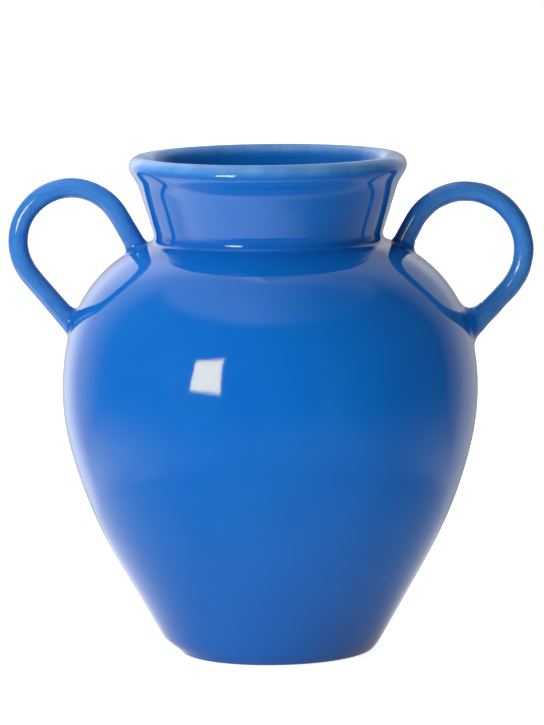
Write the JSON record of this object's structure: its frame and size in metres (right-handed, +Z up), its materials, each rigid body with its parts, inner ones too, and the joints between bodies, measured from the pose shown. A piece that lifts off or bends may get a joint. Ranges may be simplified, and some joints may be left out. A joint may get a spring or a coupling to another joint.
{
  "type": "amphora",
  "caption": "Amphora vase with a swelling glazed belly on a narrow foot, a flared neck with a rolled rim, and a round loop handle on each shoulder.",
  "frame": {"origin": "centre of the foot, on the plane that the vase stands on", "axes": "+Z up the vase's axis, +X towards the right handle, +Y towards the back"},
  "size_m": [0.3156, 0.25, 0.3],
  "materials": {
    "glaze": "glossy blue glaze, thin and paler along the lip and handles, pooled and darker in the creases",
    "bare_clay": "bare fired clay, matt and slightly sandy, on the foot ring only"
  },
  "bodies": {
    "root": {"body": "glaze", "foot_ring": "bare_clay", "neck": "glaze", "rim": "glaze", "neck_luting": "glaze", "handle_left": "glaze", "handle_right": "glaze", "luting_left_upper": "glaze", "luting_left_lower": "glaze", "luting_right_upper": "glaze", "luting_right_lower": "glaze"}
  },
  "joints": []
}
